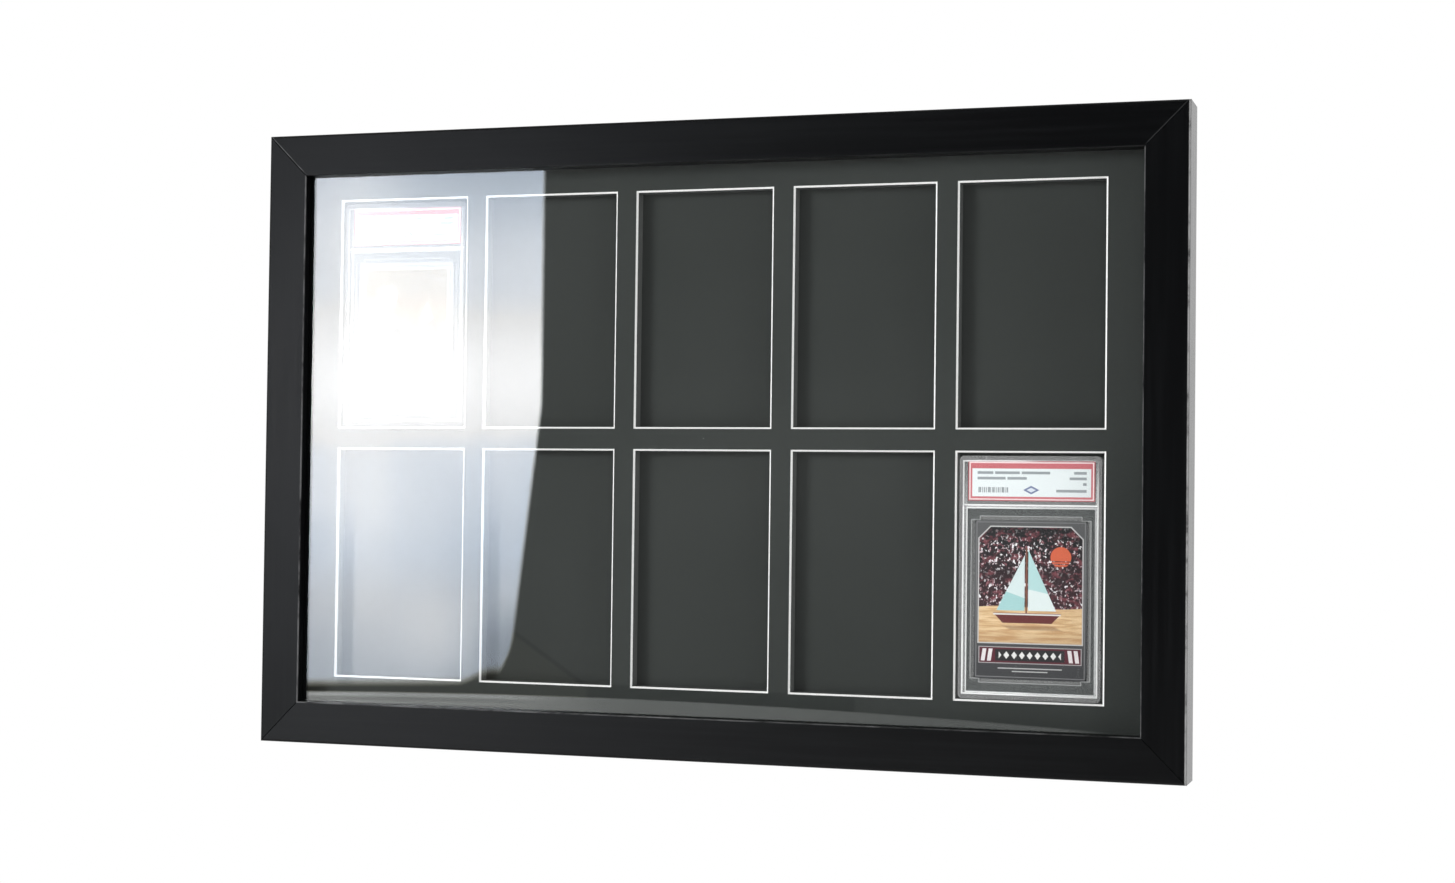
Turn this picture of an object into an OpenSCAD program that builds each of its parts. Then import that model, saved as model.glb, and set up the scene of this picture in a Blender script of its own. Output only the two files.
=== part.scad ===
// Wall display case for graded trading cards: a black mitred box frame, clear glazing, a bevel-cut
// mount with ten windows over spaced pockets, a lift-off back, and two cards in sealed holders.
// Millimetres. +X is to the viewer's right, +Y goes into the wall, +Z is up.
// The origin is the centre of the wall plane behind the case.

/* [Case] */
// Outside width of the frame
case_w = 560; // [540:5:600]
// Outside height of the frame
case_h = 371; // [360:1:400]
// Depth of the frame rails, front to back
rail_depth = 28; // [27:0.5:36]
// Width of a rail seen from the front
rail_face = 25; // [22:0.5:28]
// Depth of the rail's front lip, down to the glazing
lip_depth = 6; // [4:0.5:6.5]
// How far the lip reaches over the glazing
lip_overlap = 6; // [4:0.5:8]
// Radius along the outer front edge of the rails
outer_arris = 1.4; // [0.4:0.1:3]
// Radius along the inner front edge of the rails
sight_arris = 0.7; // [0.3:0.1:1.5]
// Radius along the outer rear edge of the rails
rear_arris = 0.5; // [0.2:0.1:1.5]
// Side of the square groove along each mitre, set cornerwise
mitre_groove = 0.4; // [0.2:0.1:1]

/* [Windows] */
// Columns of windows
columns = 5; // [3:1:5]
// Rows of windows
rows = 2; // [1:1:2]
// Width of a window at the front of its bevel
window_w = 84.7; // [84:0.1:90]
// Height of a window at the front of its bevel
window_h = 140.2; // [140:0.1:146]
// Distance between window centres across
pitch_x = 96.5; // [94:0.5:98]
// Distance between window centres up
pitch_z = 152.1; // [150:0.1:156]
// How far the windows sit to the right of the frame's centre
windows_right = -1.9; // [-3:0.1:3]
// How far the windows sit above the frame's centre
windows_up = 0.5; // [-3:0.1:3]

/* [Layers] */
// Thickness of the glazing
glazing_t = 2; // [1.5:0.1:3]
// Depth of the spacer bars between the glazing and the mount
spacer_depth = 6; // [4:0.5:6.5]
// How far the spacer bars stand back behind the edge of the front lip
spacer_set_back = 0.3; // [0:0.1:1]
// Thickness of the mount's black facing paper
facing_t = 0.2; // [0.1:0.1:0.4]
// Thickness of the mount's white core
core_t = 1.3; // [0.8:0.1:1.6]
// Depth of the pockets behind the mount
pocket_depth = 6.6; // [6.4:0.1:8]
// Gap between the spacer bars and between the foam strips, where their ends meet
strip_gap = 0.1; // [0.05:0.05:0.5]
// Thickness of the black liner at the back of the pockets
liner_t = 1.5; // [1:0.1:2]
// How far the back panel lies below the rear of the rails
back_sunk = 0.4; // [0.3:0.1:1]
// Play between the layers and the rebate, on each side
rebate_play = 0.5; // [0.3:0.1:1]

/* [Card holders] */
// Width of a sealed card holder
slab_w = 80; // [76:0.5:81]
// Height of a sealed card holder
slab_h = 136; // [130:0.5:137]
// Thickness of a sealed card holder
slab_t = 6; // [5:0.1:6.2]
// Corner radius of a sealed card holder
slab_corner = 2.6; // [1:0.2:4]
// Width of the raised rim along a holder's sides, on both faces
rim_w = 2.2; // [2:0.1:3]
// Width of the raised rim along its top and bottom
rim_end_w = 2.9; // [2:0.1:3.2]
// Height of the raised rim
rim_step = 0.5; // [0.3:0.1:0.8]
// Width of the card
card_w = 63.5; // [60:0.5:64]
// Height of the card
card_h = 88.9; // [86:0.1:90]
// Thickness of the card
card_t = 0.4; // [0.3:0.05:0.6]
// Width of the paper label above the card
label_w = 71.5; // [66:0.5:72]
// Height of the paper label
label_h = 22.4; // [18:0.2:22.8]

/* [Hardware] */
// Thickness of the rubber pads that hold the case off the wall
pad_t = 5; // [4.5:0.5:8]
// Radius of a rubber pad
pad_r = 6; // [4:0.5:8]
// Length of a turn button from its pivot to the middle of its tip
button_reach = 21; // [16:1:24]
// Radius of a turn button's wide end
button_r = 5; // [4:0.5:6]
// Thickness of a turn button
button_t = 1.2; // [1:0.1:1.5]
// Radius of the screws' shanks
screw_r = 1.7; // [1.5:0.1:1.9]
// Radius of the wire of a hanging ring
wire_r = 1; // [0.8:0.1:1]
// Inside radius of the round end of a hanging ring
ring_r = 7; // [6:0.5:7]

/* [Hidden] */
$fn = 48;
eps = 0.01;

// Planes along Y
rail_rear_y = -pad_t;
front_y = rail_rear_y - rail_depth;
glazing_y = front_y + lip_depth;
spacer_y = glazing_y + glazing_t;
facing_y = spacer_y + spacer_depth;
core_y = facing_y + facing_t;
strips_y = core_y + core_t;
liner_y = strips_y + pocket_depth;
panel_y = liner_y + liner_t;
panel_t = rail_rear_y - back_sunk - panel_y;

// Layers in the rebate
rear_face = rail_face - lip_overlap;
layer_w = case_w - 2 * rear_face - 2 * rebate_play;
layer_h = case_h - 2 * rear_face - 2 * rebate_play;

// A window narrows by the core's thickness on each side, and the pocket goes straight on from there
pocket_w = window_w - 2 * core_t;
pocket_h = window_h - 2 * core_t;

// Screws, straps and rings
shank_l = 12;
head_r = 3.2;
head_t = 1.6;
drive_w = 0.8;
drive_l = 3.6;
drive_depth = 1;
turning_gap = 0.1;
pin_gap = 0.05;
strap_w = 11;
strap_l = 24;
strap_t = 1;
strap_screws_down = [6, 19];
ring_axis_y = 2.2;
barrel_r = 1.9;
barrel_gap = 0.06;
ring_bend = 2;
ring_leg = 2;
ring_mid_r = ring_r + wire_r;
ring_lean = 5;
hanger_x = case_w / 2 - rear_face / 2;
hanger_z = 92;

// Turn buttons: where they pivot and which way they point while open
button_inset = 9.5;
button_out_x = case_w / 2 - rear_face + button_inset;
button_out_z = case_h / 2 - rear_face + button_inset;
button_x = 130;
button_tip_r = 3.4;
side_sunk = 0.04;
// Each entry is the pivot's X and Z, then the open button's turn about Y from +X
buttons = [
    [-button_x, button_out_z, 0],
    [button_x, button_out_z, 0],
    [button_out_x, -30, 90],
    [button_x, -button_out_z, 180],
    [-button_x, -button_out_z, 180],
    [-button_out_x, -30, 270]
];

// V nails at the mitres, rear face
nail_steps = [6, 12];
nail_wing = 5;
nail_t = 0.8;
nail_depth = 9;

pad_x = case_w / 2 - 36;
pad_z = case_h / 2 - rear_face / 2;

// Card holder, heights from its bottom edge
slab_play = 0.15;
well_w = slab_w - 7.6;
well_depth = 0.5;
card_well_bottom = 3.8;
card_well_top = slab_h - 29.2;
label_well_bottom = card_well_top + 1.7;
label_well_top = slab_h - 2.2;
label_bottom = label_well_bottom + 2.3;
label_t = 0.3;
gasket_gap = 0.1;
gasket_open_w = card_w + 3.4;
gasket_open_h = card_h + 3.8;
gasket_step_w = 5;
gasket_step_h = 2.2;
card_mid = (card_well_bottom + card_well_top) / 2 + 0.4;
card_corner = 3;
slab_front_y = strips_y + (pocket_depth - slab_t) / 2;
slab_split_y = slab_front_y + slab_t / 2;

// Column and row of each card holder, counted from the lower left
upper_cell = [0, rows - 1];
lower_cell = [columns - 1, 0];

function column_x(column) = windows_right + (column - (columns - 1) / 2) * pitch_x;
function row_z(row) = windows_up + (row - (rows - 1) / 2) * pitch_z;

// Extrudes a drawing of X and Z along Y, from y over depth
module slice(y, depth) {
    translate([0, y, 0]) rotate([-90, 0, 0]) linear_extrude(depth) mirror([0, 1]) children();
}

// Rod along Y, from y over depth
module rod_y(x, y, z, r, depth) {
    translate([x, y, z]) rotate([-90, 0, 0]) cylinder(r = r, h = depth);
}

module rounded_rect(w, h, r) {
    square([w - 2 * r, h], center = true);
    square([w, h - 2 * r], center = true);
    for (sx = [-1, 1], sz = [-1, 1])
        translate([sx * (w / 2 - r), sz * (h / 2 - r)]) circle(r);
}

// What rounding takes off the corner at the origin of a shape that lies in the +X +Y quarter
module spandrel(r) {
    difference() {
        translate([-1, -1]) square(1 + r);
        translate([r, r]) circle(r);
    }
}

// Section of a rail: X is in from the outer edge, Y is back from the front face
module rail_section() {
    difference() {
        polygon([
            [0, 0], [rail_face, 0], [rail_face, lip_depth],
            [rear_face, lip_depth], [rear_face, rail_depth], [0, rail_depth]
        ]);
        spandrel(outer_arris);
        translate([rail_face, 0]) mirror([1, 0]) spandrel(sight_arris);
        translate([0, rail_depth]) mirror([0, 1]) spandrel(rear_arris);
    }
}

// Rail with mitred ends, lying along X at the distance half_span under the origin
module mitred_rail(length, half_span) {
    past = rail_face + 1;
    intersection() {
        translate([0, front_y, -half_span])
            rotate([0, -90, 0]) linear_extrude(length, center = true) rail_section();
        slice(front_y - 1, rail_depth + 2) polygon([
            [-length / 2, -half_span], [length / 2, -half_span],
            [length / 2 - past, -half_span + past], [-length / 2 + past, -half_span + past]
        ]);
    }
}

module mitre_grooves() {
    reach = rail_face * sqrt(2) + 2;
    for (sx = [-1, 1], sz = [-1, 1])
        translate([sx * (case_w - rail_face) / 2, front_y, sz * (case_h - rail_face) / 2])
            rotate([0, -45 * sx * sz, 0]) rotate([45, 0, 0])
                cube([reach, mitre_groove, mitre_groove], center = true);
}

module v_nails() {
    for (sx = [-1, 1], sz = [-1, 1], step = nail_steps)
        translate([sx * (case_w / 2 - step), rail_rear_y - nail_depth, sz * (case_h / 2 - step)])
            mirror([sx > 0 ? 1 : 0, 0, 0]) mirror([0, 0, sz > 0 ? 1 : 0]) {
                cube([nail_wing, nail_depth, nail_t]);
                cube([nail_t, nail_depth, nail_wing]);
            }
}

// Pilot holes for every screw that goes into the rails
module pilot_holes() {
    for (b = buttons)
        rod_y(b[0], rail_rear_y - shank_l, b[1], screw_r, shank_l + 1);
    for (side = [-1, 1], down = strap_screws_down)
        rod_y(side * hanger_x, rail_rear_y - shank_l, hanger_z - down, screw_r, shank_l + 1);
}

module rail(length, half_span, turn) {
    color("#1b1d20") difference() {
        rotate([0, turn, 0]) mitred_rail(length, half_span);
        mitre_grooves();
        v_nails();
        pilot_holes();
    }
}

module corner_v_nails() {
    color("#8f9296") v_nails();
}

// Pan-head screw with a cross recess. head_y is the plane under its head
module screw(x, head_y, z) {
    tip_y = rail_rear_y - shank_l;
    difference() {
        union() {
            rod_y(x, tip_y, z, screw_r, head_y - tip_y + eps);
            rod_y(x, head_y, z, head_r, head_t);
        }
        for (turn = [0, 90])
            translate([x, head_y + head_t, z]) rotate([0, turn, 0])
                cube([drive_l, 2 * drive_depth, drive_w], center = true);
    }
}

module glazing() {
    color("#dfe9ec", 0.3) slice(glazing_y, glazing_t) square([layer_w, layer_h], center = true);
}

// Spacer bars round the rebate: full-width ones above and below, and uprights between them
module spacer_bars() {
    bar = lip_overlap - rebate_play - spacer_set_back;
    upright = layer_h - 2 * bar - 2 * strip_gap;
    color("#1b1d20") for (side = [0, 1]) {
        translate([-layer_w / 2, spacer_y, side * (layer_h - bar) - layer_h / 2])
            cube([layer_w, spacer_depth, bar]);
        translate([side * (layer_w - bar) - layer_w / 2, spacer_y, -upright / 2])
            cube([bar, spacer_depth, upright]);
    }
}

module each_window() {
    for (column = [0 : columns - 1], row = [0 : rows - 1])
        translate([column_x(column), 0, row_z(row)]) children();
}

module mount_facing() {
    color("#474b4a") difference() {
        slice(facing_y, facing_t) square([layer_w, layer_h], center = true);
        each_window() slice(facing_y - 1, facing_t + 2) square([window_w, window_h], center = true);
    }
}

// Wedge that narrows at 45 degrees from width at Y 0, long enough for the core
module bevel_wedge(width, length) {
    front = width / 2 + 1;
    rear = width / 2 - core_t - 1;
    linear_extrude(length, center = true)
        polygon([[-front, -1], [front, -1], [rear, core_t + 1], [-rear, core_t + 1]]);
}

module bevelled_window() {
    translate([0, core_y, 0]) intersection() {
        bevel_wedge(window_w, 2 * window_h);
        rotate([0, 90, 0]) bevel_wedge(window_h, 2 * window_w);
    }
}

module mount_core() {
    color("#f4f4f1") difference() {
        slice(core_y, core_t) square([layer_w, layer_h], center = true);
        each_window() bevelled_window();
    }
}

// Foam strips behind the mount: full-width bars, and separate uprights between them
module pocket_strips() {
    bar_edges = concat(
        [-layer_h / 2],
        [for (row = [0 : rows - 1], side = [-1, 1]) row_z(row) + side * pocket_h / 2],
        [layer_h / 2]
    );
    upright_edges = concat(
        [-layer_w / 2],
        [for (column = [0 : columns - 1], side = [-1, 1]) column_x(column) + side * pocket_w / 2],
        [layer_w / 2]
    );
    upright_h = pocket_h - 2 * strip_gap;
    color("#3a3d3c") {
        for (i = [0 : rows])
            translate([-layer_w / 2, strips_y, bar_edges[2 * i]])
                cube([layer_w, pocket_depth, bar_edges[2 * i + 1] - bar_edges[2 * i]]);
        for (row = [0 : rows - 1], i = [0 : columns])
            translate([upright_edges[2 * i], strips_y, row_z(row) - pocket_h / 2])
                translate([0, 0, strip_gap])
                    cube([upright_edges[2 * i + 1] - upright_edges[2 * i], pocket_depth, upright_h]);
    }
}

module back_liner() {
    color("#454948") slice(liner_y, liner_t) square([layer_w, layer_h], center = true);
}

module back_panel() {
    color("#8a6847") slice(panel_y, panel_t) square([layer_w, layer_h], center = true);
}

// Plate of a turn button along X from its pivot: two round ends, with straight sides just inside both
module button_plate() {
    pivot_half = button_r - side_sunk;
    tip_half = button_tip_r - side_sunk;
    rod_y(0, 0, 0, button_r, button_t);
    rod_y(button_reach, 0, 0, button_tip_r, button_t);
    slice(0, button_t) polygon([
        [0, pivot_half], [button_reach, tip_half], [button_reach, -tip_half], [0, -pivot_half]
    ]);
}

module turn_button(i) {
    b = buttons[i];
    color("#a9acae") translate([b[0], rail_rear_y + turning_gap, b[1]]) rotate([0, b[2], 0])
        difference() {
            button_plate();
            rod_y(0, -1, 0, screw_r + pin_gap, button_t + 2);
        }
}

module turn_button_screws() {
    color("#b9bcbe") for (b = buttons)
        screw(b[0], rail_rear_y + button_t + 2 * turning_gap, b[1]);
}

module hanger_strap(side) {
    color("#a9acae") translate([side * hanger_x, rail_rear_y, hanger_z]) difference() {
        union() {
            slice(0, strap_t) {
                translate([-strap_w / 2, -strap_l + strap_w / 2])
                    square([strap_w, strap_l - strap_w / 2]);
                translate([0, -strap_l + strap_w / 2]) circle(strap_w / 2);
            }
            translate([-strap_w / 2, ring_axis_y, 0]) rotate([0, 90, 0])
                cylinder(r = barrel_r, h = strap_w);
        }
        translate([-strap_w, ring_axis_y, 0]) rotate([0, 90, 0])
            cylinder(r = wire_r + barrel_gap, h = 2 * strap_w);
        for (down = strap_screws_down)
            rod_y(0, -1, -down, screw_r + pin_gap, strap_t + 2);
    }
}

module hanger_screws() {
    color("#b9bcbe") for (side = [-1, 1], down = strap_screws_down)
        screw(side * hanger_x, rail_rear_y + strap_t, hanger_z - down);
}

// Stretch of the ring's wire that turns through angle in the plane of X and Z
module wire_bend(x, z, r, start, angle) {
    translate([x, 0, z]) rotate([90, 0, 0]) rotate([0, 0, start])
        rotate_extrude(angle = angle) translate([r, 0]) circle(wire_r);
}

module d_ring(side) {
    bar = ring_mid_r - ring_bend;
    legs_top = ring_bend + ring_leg;
    color("#b4b7b9") translate([side * hanger_x, rail_rear_y + ring_axis_y, hanger_z])
        rotate([ring_lean, 0, 0]) {
            translate([-bar, 0, 0]) rotate([0, 90, 0]) cylinder(r = wire_r, h = 2 * bar);
            wire_bend(bar, ring_bend, ring_bend, -90, 90);
            wire_bend(-bar, ring_bend, ring_bend, 180, 90);
            for (s = [-1, 1])
                translate([s * ring_mid_r, 0, ring_bend]) cylinder(r = wire_r, h = ring_leg);
            wire_bend(0, legs_top, ring_mid_r, 0, 180);
        }
}

module wall_pads() {
    color("#2c2c2d") for (sx = [-1, 1], sz = [-1, 1])
        rod_y(sx * pad_x, rail_rear_y, sz * pad_z, pad_r, pad_t);
}

// Puts a holder's parts, drawn from its bottom centre, into the pocket at a column and row
module in_pocket(cell) {
    translate([column_x(cell[0]), 0, row_z(cell[1]) - pocket_h / 2 + slab_play]) children();
}

// The two wells inside a holder, for the card with its gasket and for the label
module slab_wells(y, depth) {
    slice(y, depth) {
        translate([-well_w / 2, card_well_bottom])
            square([well_w, card_well_top - card_well_bottom]);
        translate([-well_w / 2, label_well_bottom])
            square([well_w, label_well_top - label_well_bottom]);
    }
}

// Half of a holder, from its outer face at face_y to the split, with a rim that stands proud
module slab_half(face_y, inward) {
    half = slab_t / 2;
    low_y = inward > 0 ? face_y : face_y - half;
    face_low_y = inward > 0 ? face_y - 1 : face_y - rim_step;
    well_low_y = inward > 0 ? face_y + half - well_depth : face_y - half - 1;
    difference() {
        slice(low_y, half)
            translate([0, slab_h / 2]) rounded_rect(slab_w, slab_h, slab_corner);
        slice(face_low_y, 1 + rim_step) translate([0, slab_h / 2])
            rounded_rect(slab_w - 2 * rim_w, slab_h - 2 * rim_end_w, slab_corner - 1);
        slab_wells(well_low_y, 1 + well_depth);
    }
}

module slab_front(cell) {
    color("#cfd8da", 0.35) in_pocket(cell) slab_half(slab_front_y, 1);
}

module slab_rear(cell) {
    color("#cfd8da", 0.35) in_pocket(cell) slab_half(slab_front_y + slab_t, -1);
}

// The gasket's opening, with a step in each corner
module gasket_opening() {
    square([gasket_open_w, gasket_open_h - 2 * gasket_step_h], center = true);
    square([gasket_open_w - 2 * gasket_step_w, gasket_open_h], center = true);
}

// Frosted gasket that holds the card in the middle of its well
module slab_gasket(cell) {
    gasket_w = well_w - 2 * gasket_gap;
    gasket_h = card_well_top - card_well_bottom - 2 * gasket_gap;
    gasket_y = slab_split_y - well_depth + gasket_gap;
    color("#9fa5a6", 0.6) in_pocket(cell) slice(gasket_y, 2 * well_depth - gasket_gap)
        difference() {
            translate([-gasket_w / 2, card_well_bottom + gasket_gap]) square([gasket_w, gasket_h]);
            translate([0, card_mid]) gasket_opening();
        }
}

module slab_label(cell) {
    color("#b8404c") in_pocket(cell) slice(slab_split_y + well_depth - label_t, label_t)
        translate([-label_w / 2, label_bottom]) square([label_w, label_h]);
}

module card(cell) {
    color("#2b3034") in_pocket(cell) slice(slab_split_y + well_depth - card_t, card_t)
        translate([0, card_mid]) rounded_rect(card_w, card_h, card_corner);
}

rail(case_w, case_h / 2, 180);  // rail_top
rail(case_w, case_h / 2, 0);  // rail_bottom
rail(case_h, case_w / 2, 90);  // rail_left
rail(case_h, case_w / 2, -90);  // rail_right
corner_v_nails();
glazing();
spacer_bars();
mount_facing();
mount_core();
pocket_strips();
back_liner();
back_panel();
turn_button(0);  // turn_button_top_left
turn_button(1);  // turn_button_top_right
turn_button(2);  // turn_button_right
turn_button(3);  // turn_button_bottom_right
turn_button(4);  // turn_button_bottom_left
turn_button(5);  // turn_button_left
turn_button_screws();
hanger_strap(-1);  // hanger_strap_left
hanger_strap(1);  // hanger_strap_right
hanger_screws();
d_ring(-1);  // d_ring_left
d_ring(1);  // d_ring_right
wall_pads();
slab_front(upper_cell);  // upper_slab_front
slab_rear(upper_cell);  // upper_slab_rear
slab_gasket(upper_cell);  // upper_slab_gasket
slab_label(upper_cell);  // upper_slab_label
card(upper_cell);  // upper_card
slab_front(lower_cell);  // lower_slab_front
slab_rear(lower_cell);  // lower_slab_rear
slab_gasket(lower_cell);  // lower_slab_gasket
slab_label(lower_cell);  // lower_slab_label
card(lower_cell);  // lower_card
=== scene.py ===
"""Trading card display case: materials, printed designs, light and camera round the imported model."""

import math

import bpy
from mathutils import Euler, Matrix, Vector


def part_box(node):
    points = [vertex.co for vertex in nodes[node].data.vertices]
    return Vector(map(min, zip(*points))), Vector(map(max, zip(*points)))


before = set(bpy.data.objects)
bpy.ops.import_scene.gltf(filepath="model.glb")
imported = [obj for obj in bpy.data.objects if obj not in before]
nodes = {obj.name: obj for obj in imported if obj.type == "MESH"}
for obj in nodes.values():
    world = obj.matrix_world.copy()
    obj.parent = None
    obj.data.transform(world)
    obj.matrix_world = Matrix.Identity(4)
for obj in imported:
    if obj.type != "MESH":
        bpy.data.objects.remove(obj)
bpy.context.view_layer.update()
scene = bpy.context.scene
scene.view_settings.view_transform = "Standard"

# Millimetres in a metre
MILLIMETRES = 1000

# Camera at the photograph's place, in metres and degrees

CAMERA_PLACE = (0.4330, -1.3046, -0.0352)
CAMERA_TURN = (91.456, -0.704, 18.041)
SENSOR_WIDE = 36
FOCAL_LENGTH = 57.67
camera_data = bpy.data.cameras.new("camera")
camera_data.sensor_width = SENSOR_WIDE
camera_data.lens = FOCAL_LENGTH
camera = bpy.data.objects.new("camera", camera_data)
camera.location = CAMERA_PLACE
camera.rotation_euler = Euler([math.radians(a) for a in CAMERA_TURN])
scene.collection.objects.link(camera)
scene.camera = camera

# Lamps: a wide soft light from the front left, a weak one from the right, and one behind
# Each has a name, a place in metres, a size in metres and a power in watts

LAMPS = (
    ("window_light", (-2.58, -2.34, 0.85), 0.95, 122),
    ("side_light", (2.7, -0.85, 0.25), 0.9, 38),
    ("back_light", (1.7, 2.5, 1.3), 0.9, 60),
)
for name, place, size, power in LAMPS:
    lamp_data = bpy.data.lights.new(name, "AREA")
    lamp_data.shape = "SQUARE"
    lamp_data.size = size
    lamp_data.energy = power
    lamp = bpy.data.objects.new(name, lamp_data)
    lamp.location = place
    lamp.rotation_euler = (-lamp.location).to_track_quat("-Z", "Y").to_euler()
    lamp.visible_glossy = False
    lamp.visible_transmission = False
    scene.collection.objects.link(lamp)


class Num:
    """A number in a node tree, which adds and multiplies as a plain number does."""

    def __init__(self, tree, socket):
        self.tree = tree
        self.socket = socket

    def math(self, kind, *others, clamp=False):
        node = self.tree.nodes.new("ShaderNodeMath")
        node.operation = kind
        node.use_clamp = clamp
        for k, value in enumerate((self, *others)):
            if isinstance(value, Num):
                self.tree.links.new(value.socket, node.inputs[k])
            else:
                node.inputs[k].default_value = value
        return Num(self.tree, node.outputs[0])

    def __add__(self, other):
        return self.math("ADD", other)

    __radd__ = __add__

    def __mul__(self, other):
        return self.math("MULTIPLY", other)

    __rmul__ = __mul__

    def __sub__(self, other):
        return self.math("SUBTRACT", other)

    def __rsub__(self, other):
        return (self * -1) + other

    def __truediv__(self, other):
        return self.math("DIVIDE", other)

    def __neg__(self):
        return self * -1

    def abs(self):
        return self.math("ABSOLUTE")

    def low(self, other):
        """The lower of two numbers."""
        return self.math("MINIMUM", other)

    def high(self, other):
        """The higher of two numbers."""
        return self.math("MAXIMUM", other)

    def power(self, other):
        return self.math("POWER", other)

    def wrap(self, low, high):
        """Repeats from low to high."""
        return self.math("WRAP", high, low)

    def clamp(self):
        """Kept between 0 and 1."""
        return self.math("ADD", 0, clamp=True)

    def step(self, start, end):
        """Goes smoothly from 0 at start to 1 at end, which may be the lower of the two."""
        t = ((self - start) / (end - start)).clamp()
        return t * t * (3 - 2 * t)


def length(a, b):
    return (a * a + b * b).power(0.5)


def cover(away, soft):
    """1 where away is below zero, with a soft edge."""
    return (0.5 - away / soft).clamp()


def hill(first, *others):
    """1 where all the numbers are 0, falling smoothly to 0 as they move away from it."""
    total = first.power(2)
    for other in others:
        total = total + other.power(2)
    return (-total).math("EXPONENT")


# The colour sockets of a Mix node, which has others of the same names
MIX_FIRST = 6
MIX_SECOND = 7
MIX_RESULT = 2


def mix_colours(tree, share, first, second):
    """A colour between two colours, each a tuple or a socket."""
    node = tree.nodes.new("ShaderNodeMix")
    node.data_type = "RGBA"
    if isinstance(share, Num):
        tree.links.new(share.socket, node.inputs[0])
    else:
        node.inputs[0].default_value = share
    for socket, value in ((node.inputs[MIX_FIRST], first), (node.inputs[MIX_SECOND], second)):
        if isinstance(value, tuple):
            socket.default_value = (*value, 1)
        else:
            tree.links.new(value, socket)
    return node.outputs[MIX_RESULT]


def seen_rays(tree):
    """1 for the rays that show the background: camera, glossy and transmission rays."""
    rays = tree.nodes.new("ShaderNodeLightPath")
    seen = Num(tree, rays.outputs["Is Camera Ray"])
    for kind in ("Is Glossy Ray", "Is Transmission Ray"):
        seen = seen.high(Num(tree, rays.outputs[kind]))
    return seen


class Net:
    """A material with one Principled shader, with positions in millimetres in the model's frame."""

    def __init__(self, name, **plain):
        self.material = bpy.data.materials.new(name)
        self.material.use_nodes = True
        self.tree = self.material.node_tree
        self.tree.nodes.clear()
        self.shader = self.tree.nodes.new("ShaderNodeBsdfPrincipled")
        self.out = self.tree.nodes.new("ShaderNodeOutputMaterial")
        self.tree.links.new(self.shader.outputs[0], self.out.inputs["Surface"])
        for key, value in plain.items():
            self.shader.inputs[key.replace("_", " ")].default_value = value
        where = self.tree.nodes.new("ShaderNodeTexCoord")
        scale = self.tree.nodes.new("ShaderNodeVectorMath")
        scale.operation = "SCALE"
        scale.inputs["Scale"].default_value = MILLIMETRES
        self.tree.links.new(where.outputs["Object"], scale.inputs[0])
        self.place = scale.outputs[0]
        split = self.tree.nodes.new("ShaderNodeSeparateXYZ")
        self.tree.links.new(self.place, split.inputs[0])
        self.x, self.y, self.z = [Num(self.tree, s) for s in split.outputs]

    def noise(self, scale, stretch=(1, 1, 1), detail=3.0, rough=0.5, offset=0.0):
        """Noise with features about 1 / scale millimetres wide, before the stretch."""
        size = self.tree.nodes.new("ShaderNodeVectorMath")
        size.operation = "MULTIPLY_ADD"
        self.tree.links.new(self.place, size.inputs[0])
        size.inputs[1].default_value = stretch
        size.inputs[2].default_value = (offset, offset, offset)
        node = self.tree.nodes.new("ShaderNodeTexNoise")
        self.tree.links.new(size.outputs[0], node.inputs["Vector"])
        node.inputs["Scale"].default_value = scale
        node.inputs["Detail"].default_value = detail
        node.inputs["Roughness"].default_value = rough
        return Num(self.tree, node.outputs["Fac"])

    def cells(self, scale):
        """Distance to the middle of the nearest cell, with cells about 1 / scale millimetres wide."""
        node = self.tree.nodes.new("ShaderNodeTexVoronoi")
        self.tree.links.new(self.place, node.inputs["Vector"])
        node.inputs["Scale"].default_value = scale
        return Num(self.tree, node.outputs["Distance"])

    def blend(self, share, first, second):
        """The first colour where the share is 0, the second where it is 1."""
        return mix_colours(self.tree, share, first, second)

    def feed(self, key, value):
        socket = value.socket if isinstance(value, Num) else value
        self.tree.links.new(socket, self.shader.inputs[key])

    def bump(self, height, depth):
        """Bump from a height of 0 to 1, depth millimetres deep."""
        node = self.tree.nodes.new("ShaderNodeBump")
        node.inputs["Strength"].default_value = 1.0
        node.inputs["Distance"].default_value = depth / MILLIMETRES
        self.tree.links.new(height.socket, node.inputs["Height"])
        self.tree.links.new(node.outputs[0], self.shader.inputs["Normal"])

    def finish(self, colour, rough, height, depth):
        """Feeds the colour, the roughness and the bump, and gives the material."""
        self.feed("Base Color", colour)
        self.feed("Roughness", rough)
        self.bump(height, depth)
        return self.material


# Materials of the case

# Half the width and half the height of the case, and of its sight opening, in millimetres
CASE = (280, 185.5)
SIGHT = (255, 160.5)

# Depths in millimetres from the wall, below zero towards the front
ARRIS_DEPTH = -32.2
MITRE_DEPTH = -32.4
CORNER_DEPTH = -31.6
BACKING_DEPTH = -17.8
CARD_MIDDLE = -13.9
LABEL_MIDDLE = -13.85

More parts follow.
